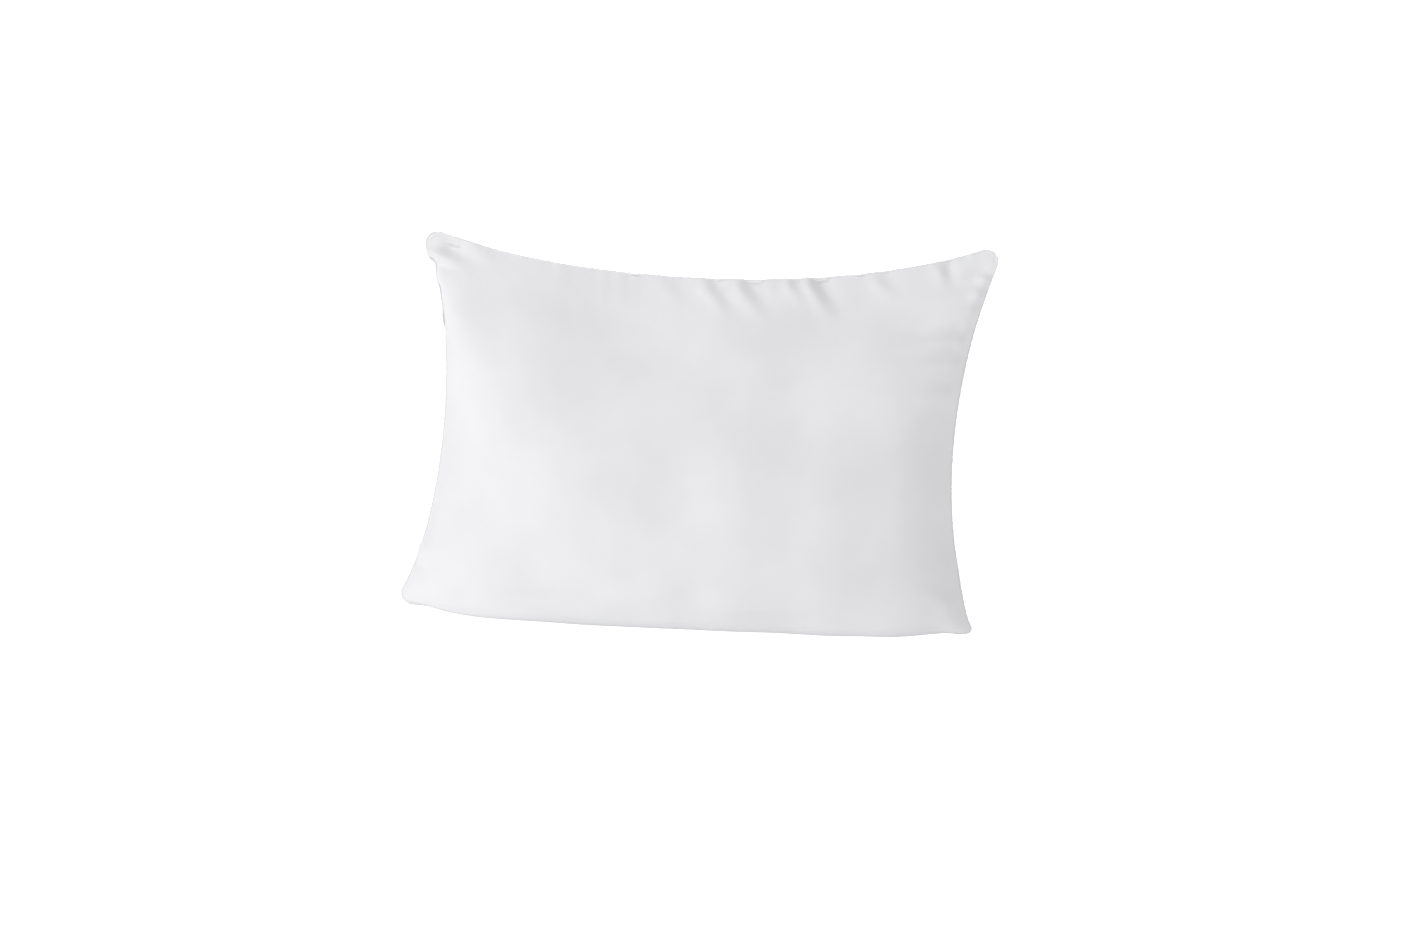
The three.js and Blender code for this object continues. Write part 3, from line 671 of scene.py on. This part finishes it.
def thread(name, node_name, path, side, closed=True):
    """A thin round tube along a path. side is a direction that the path never runs along."""
    ahead = np.roll(path, -1, axis=0) if closed else np.vstack([path[1:], 2 * path[-1:] - path[-2:-1]])
    behind = np.roll(path, 1, axis=0) if closed else np.vstack([2 * path[:1] - path[1:2], path[:-1]])
    run = ahead - behind
    first = np.cross(run, side)
    first /= np.linalg.norm(first, axis=1, keepdims=True)
    second = np.cross(run, first)
    second /= np.linalg.norm(second, axis=1, keepdims=True)
    turn = np.linspace(0, 2 * math.pi, THREAD_SIDES, endpoint=False)[None, :, None]
    ring = np.cos(turn) * first[:, None] + np.sin(turn) * second[:, None]
    points = path[:, None] + THREAD_RADIUS * ring
    spans = len(path) if closed else len(path) - 1
    k, s = np.meshgrid(np.arange(spans), np.arange(THREAD_SIDES), indexing="ij")
    corners = [(k, s), (k, s + 1), (k + 1, s + 1), (k + 1, s)]
    faces = np.stack([(i % len(path)) * THREAD_SIDES + j % THREAD_SIDES for i, j in corners], -1)
    faces = faces.reshape(-1, 4).tolist()
    length = np.r_[0, np.cumsum(np.linalg.norm(np.diff(path, axis=0), axis=1)), 0]
    length[-1] = length[-2] + THREAD_RADIUS
    rim = 2 * math.pi * THREAD_RADIUS / THREAD_SIDES
    place = np.stack([np.stack([length[i], j * rim], -1) for i, j in corners], -2).reshape(-1, 2)
    if not closed:
        last = (len(path) - 1) * THREAD_SIDES
        faces += [list(range(THREAD_SIDES))[::-1], [last + n for n in range(THREAD_SIDES)]]
        place = np.vstack([place, np.zeros((2 * THREAD_SIDES, 2))])
    joined(piece(name, points.reshape(-1, 3), faces, sewing_thread, place), node_name)


def along_seam(spacing):
    """Points close together round the seam, with their inward directions and their run."""
    closed = np.vstack([seam, seam[:1]])
    turned_in = np.vstack([inwards, inwards[:1]])
    run = np.r_[0, np.cumsum(np.linalg.norm(np.diff(closed, axis=0), axis=1))]
    steps = np.arange(round(run[-1] / spacing)) * run[-1] / round(run[-1] / spacing)
    sample = lambda values: np.stack([np.interp(steps, run, values[:, n]) for n in range(3)], -1)
    return sample(closed), sample(turned_in), steps


def lockstitch(distance):
    """Height of a stitched thread over the cloth: it lies on top, and dips in at each stitch's end."""
    return np.abs(np.sin(math.pi * distance / STITCH)) ** 0.5


line, line_in, line_run = along_seam(STITCH / 4)
for name, facing in (("needle", FRONT), ("bobbin", BACK)):
    lies = MOUTH + FABRIC * lockstitch(line_run) + THREAD_RADIUS
    stitched = line + line_in * STITCH_INSET + facing * lies[:, None] * OFF_PLANE
    thread(f"{name}_stitches", f"seam_{name}_thread", stitched, OFF_PLANE)

OVERLOCK_PITCH, OVERLOCK_STEPS = 0.004, 8
OVERLOCK_WIDTH = 0.003
OVERLOCK_SLACK = 0.0004       # how far the loops stand past the raw edge
wrap, wrap_in, _ = along_seam(OVERLOCK_PITCH / OVERLOCK_STEPS)
phase = 2 * math.pi * np.arange(len(wrap)) / OVERLOCK_STEPS
reach = ALLOWANCE - OVERLOCK_WIDTH / 2 + (OVERLOCK_WIDTH / 2 + OVERLOCK_SLACK) * np.cos(phase)
off = (MOUTH + FABRIC + THREAD_RADIUS) * np.sin(phase)
wrap_along = np.roll(wrap, -1, axis=0) - np.roll(wrap, 1, axis=0)
wrapped = wrap + wrap_in * reach[:, None] + off[:, None] * OFF_PLANE
thread("overlock_stitches", "overlock_thread", wrapped, wrap_along)

# ---- Wadding and fibre filling ------------------------------------------------------------------
# A layer of bonded polyester wadding under each panel keeps the surface smooth. Between them the
# pillow is blown full of loose crimped polyester fibre, most of which has slumped to the bottom.
WADDING = 0.008               # at the fullest part
CLEAR = 0.0018                # from the cloth to the wadding
EDGE_CELLS = 6                # cells of the panel's grid between the seam and the filling
FILL_STEPS = (122, 80)


def fibre(name, colour, shade, size):
    """Matted fibre: fine crimped hairs over soft lumps, darker where they lie deep, which is painted shade
    in their hollows.
    """
    material = bpy.data.materials.new(name)
    material.use_nodes = True
    tree = material.node_tree
    shader = tree.nodes["Principled BSDF"]
    place = node(tree, "ShaderNodeTexCoord")
    lumps = node(tree, "ShaderNodeTexNoise",
                 {"Vector": place.outputs["Object"], "Scale": 1 / size, "Detail": 4.0})
    hairs = node(tree, "ShaderNodeTexNoise", {"Vector": place.outputs["Object"], "Scale": 30 / size,
                                              "Detail": 6.0, "Distortion": 2.5})
    depth = node(tree, "ShaderNodeMath", {0: lumps.outputs[0], 1: hairs.outputs[0]}, operation="ADD")
    # Painted shade: deep places take the shade colour, in the hollows between lumps and hairs.
    painted_hollow_shade = node(tree, "ShaderNodeMapRange", {0: depth.outputs[0], 1: 0.6, 2: 1.4})
    mixed = node(tree, "ShaderNodeMix", {0: painted_hollow_shade.outputs[0], 6: (*shade, 1), 7: (*colour, 1)},
                 data_type="RGBA")
    fluff = node(tree, "ShaderNodeBump",
                 {"Height": depth.outputs[0], "Strength": 0.7, "Distance": 0.002})
    tree.links.new(mixed.outputs[2], shader.inputs["Base Color"])
    tree.links.new(fluff.outputs[0], shader.inputs["Normal"])
    shader.inputs["Roughness"].default_value = 1
    shader.inputs["Sheen Weight"].default_value = 0.3
    return material


# The second colour of each is painted shade for the fibre's hollows.
bonded_wadding = fibre("bonded_wadding", (0.86, 0.86, 0.85), (0.74, 0.74, 0.73), 0.03)
loose_fibre = fibre("loose_fibre", (0.88, 0.88, 0.87), (0.72, 0.72, 0.71), 0.015)


def between(outer, inner_face, flip):
    """The points and faces of a closed body between two matching grids."""
    ids = np.arange(outer.shape[0] * outer.shape[1]).reshape(outer.shape[:2])
    under = ids + ids.size
    rim, rim_under = round_edge(ids), round_edge(under)
    strip = np.stack([np.roll(rim, -1), rim, rim_under, np.roll(rim_under, -1)], -1)
    rim_faces = (strip[:, ::-1] if flip else strip).tolist()
    faces = panel_faces(ids, flip) + panel_faces(under, not flip) + rim_faces
    return np.vstack([outer.reshape(-1, 3), inner_face.reshape(-1, 3)]), faces


def under_panel(facing, depth, share=0.0):
    """A coarser grid under a panel, a fixed depth below it and a share of the wadding's thickness."""
    grid = grids[facing]
    picks = [np.linspace(EDGE_CELLS, n - 1 - EDGE_CELLS, steps).round().astype(int)
             for n, steps in zip(grid.shape[:2], FILL_STEPS)]
    chosen = np.ix_(*picks)
    coarse, normal = grid[chosen], outward(grid, facing)[chosen]
    thickness = WADDING * np.abs(coarse[..., 1:2]) / np.abs(grid[..., 1]).max()
    return coarse - normal * (depth + share * thickness)


for name, facing in (("front", FRONT), ("back", BACK)):
    top, bottom = under_panel(facing, FABRIC + CLEAR), under_panel(facing, FABRIC + CLEAR, 1.0)
    points, faces = between(top, bottom, facing == BACK)
    made = piece(f"{name}_wadding", points, faces, bonded_wadding)
    joined(made, f"{name}_batting")

core_faces = [under_panel(facing, FABRIC + 1.5 * CLEAR, 1.0) for facing in (FRONT, BACK)]
points, faces = between(*core_faces, False)
core = piece("fibre_fill", points, faces, loose_fibre)
joined(core, "fill_core")

# ---- Closing stitch -----------------------------------------------------------------------------
# The pillow is filled through a gap left in the middle of the bottom seam. It is shut by a line of
# stitches through both panels, close to the piping, which shows only from below.
CLOSING_LENGTH = 0.260
CLOSING_INSET = 0.6           # in cells of the panel's grid
for name, facing in (("needle", FRONT), ("bobbin", BACK)):
    rows_beside = grids[facing][:, :2] + facing * MOUTH * OFF_PLANE
    line = rows_beside[:, 0] * (1 - CLOSING_INSET) + rows_beside[:, 1] * CLOSING_INSET
    normal = outward(grids[facing], facing)[:, 1]
    xs = np.arange(-CLOSING_LENGTH / 2, CLOSING_LENGTH / 2, STITCH / 4)
    at = lambda values: np.stack([np.interp(xs, line[:, 0], values[:, n]) for n in range(3)], -1)
    lies = THREAD_RADIUS * (2.2 * lockstitch(xs) - 1)
    thread(f"closing_{name}_stitches", f"closing_{name}_thread",
           at(line) + at(normal) * lies[:, None], OFF_PLANE, closed=False)

# ---- Care label ---------------------------------------------------------------------------------
# A folded, blank woven tape caught in the right-hand seam, lying back over the back panel.
LABEL_CELLS = 15              # length of the tape in cells of the panel's grid, 3 mm each
LABEL_ROWS = 11               # its width
LABEL_HEIGHT = 0.120          # height of its middle above the ground
TAPE = 0.0004
LABEL_LIFT = 0.0016           # how far the free end stands off the panel
LABEL_BED = 0.0004            # gap under the tape where it leaves the seam
RIPPLE = 0.0003
label_tape = woven("label_tape", (0.87, 0.865, 0.845), (0.84, 0.835, 0.81), spacing=0.0006,
                   slubs=0.2, strength=0.3, relief=0.00005, sheen=0.3)
back = grids[BACK]
first_row = int(np.abs(back[-1, :, 2] - LABEL_HEIGHT).argmin()) - LABEL_ROWS // 2
tape_part = (slice(-1 - LABEL_CELLS, None), slice(first_row, first_row + LABEL_ROWS + 1))
tape_bed, tape_normal = back[tape_part] + MOUTH * OFF_PLANE, outward(back, BACK)[tape_part]
free = 1 - np.arange(LABEL_CELLS + 1)[:, None, None] / LABEL_CELLS
ripple = RIPPLE * np.sin(np.arange(LABEL_ROWS + 1) * 1.1)[None, :, None] * free
underside = tape_bed + tape_normal * (LABEL_BED + LABEL_LIFT * free ** 1.6 + ripple)
points, faces = between(underside + tape_normal * TAPE, underside, True)
tape_places = cut_places[tape_part].reshape(-1, 2)
label = piece("label_folded_tape", points, faces, label_tape, np.vstack([tape_places, tape_places]))
joined(label, "care_label")

# ---- Floor, light and camera ------------------------------------------------------------------
# A white studio: a wide matt floor, an even white surround, and one large soft light from the left
# and front, about as high as the pillow. Floor and surround are brighter to the camera than to the
# pillow, so that the background stays plain white.
floor_mesh = bpy.data.meshes.new("floor")
floor_mesh.from_pydata([(-40, -40, 0), (40, -40, 0), (40, 40, 0), (-40, 40, 0)], [], [(0, 1, 2, 3)])
floor = bpy.data.objects.new("floor", floor_mesh)
scene.collection.objects.link(floor)
floor_paint = bpy.data.materials.new("white_floor")
floor_paint.use_nodes = True
paint = floor_paint.node_tree.nodes["Principled BSDF"]
mottle = node(floor_paint.node_tree, "ShaderNodeTexNoise", {"Scale": 30.0})
shade = node(floor_paint.node_tree, "ShaderNodeMapRange", {0: mottle.outputs[0], 3: 0.90, 4: 0.94})
floor_paint.node_tree.links.new(shade.outputs[0], paint.inputs["Base Color"])
paint.inputs["Roughness"].default_value = 0.9
paint.inputs["Emission Color"].default_value = (1, 1, 1, 1)
floor_seen = node(floor_paint.node_tree, "ShaderNodeLightPath")
glow = node(floor_paint.node_tree, "ShaderNodeMapRange",
            {0: floor_seen.outputs["Is Camera Ray"], 3: 0.19, 4: 0.95})
floor_paint.node_tree.links.new(glow.outputs[0], paint.inputs["Emission Strength"])
floor_mesh.materials.append(floor_paint)

surround = bpy.data.worlds.new("white_surround")
scene.world = surround
surround.use_nodes = True
sky = surround.node_tree
seen = node(sky, "ShaderNodeLightPath")
brightness = node(sky, "ShaderNodeMapRange", {0: seen.outputs["Is Camera Ray"], 3: 0.75, 4: 1.1})
sky.nodes["Background"].inputs[0].default_value = (1, 1, 1, 1)
sky.links.new(brightness.outputs[0], sky.nodes["Background"].inputs[1])

middle = Vector((0, 0, 0.22))
softbox = bpy.data.lights.new("softbox", "AREA")
softbox.shape, softbox.size, softbox.energy = "DISK", 2.2, 66
softbox_stand = bpy.data.objects.new("softbox", softbox)
scene.collection.objects.link(softbox_stand)
softbox_stand.location = (-3.15, -2.80, 0.50)
softbox_stand.rotation_euler = (middle - softbox_stand.location).to_track_quat("-Z", "Y").to_euler()

AZIMUTH, ELEVATION, ROLL = math.radians(4), math.radians(8.5), math.radians(1.8)
DISTANCE = 2.34
aim = Vector((0.0117, 0, 0.181))
lens = bpy.data.cameras.new("camera")
lens.lens, lens.sensor_width = 50, 36
camera = bpy.data.objects.new("camera", lens)
scene.collection.objects.link(camera)
back_off = Vector((math.sin(AZIMUTH) * math.cos(ELEVATION), -math.cos(AZIMUTH) * math.cos(ELEVATION),
                   math.sin(ELEVATION)))
camera.location = aim + DISTANCE * back_off
camera.rotation_euler = (-back_off).to_track_quat("-Z", "Y").to_euler()
camera.rotation_euler.rotate_axis("Z", ROLL)
scene.camera = camera
scene.view_settings.view_transform = "Standard"
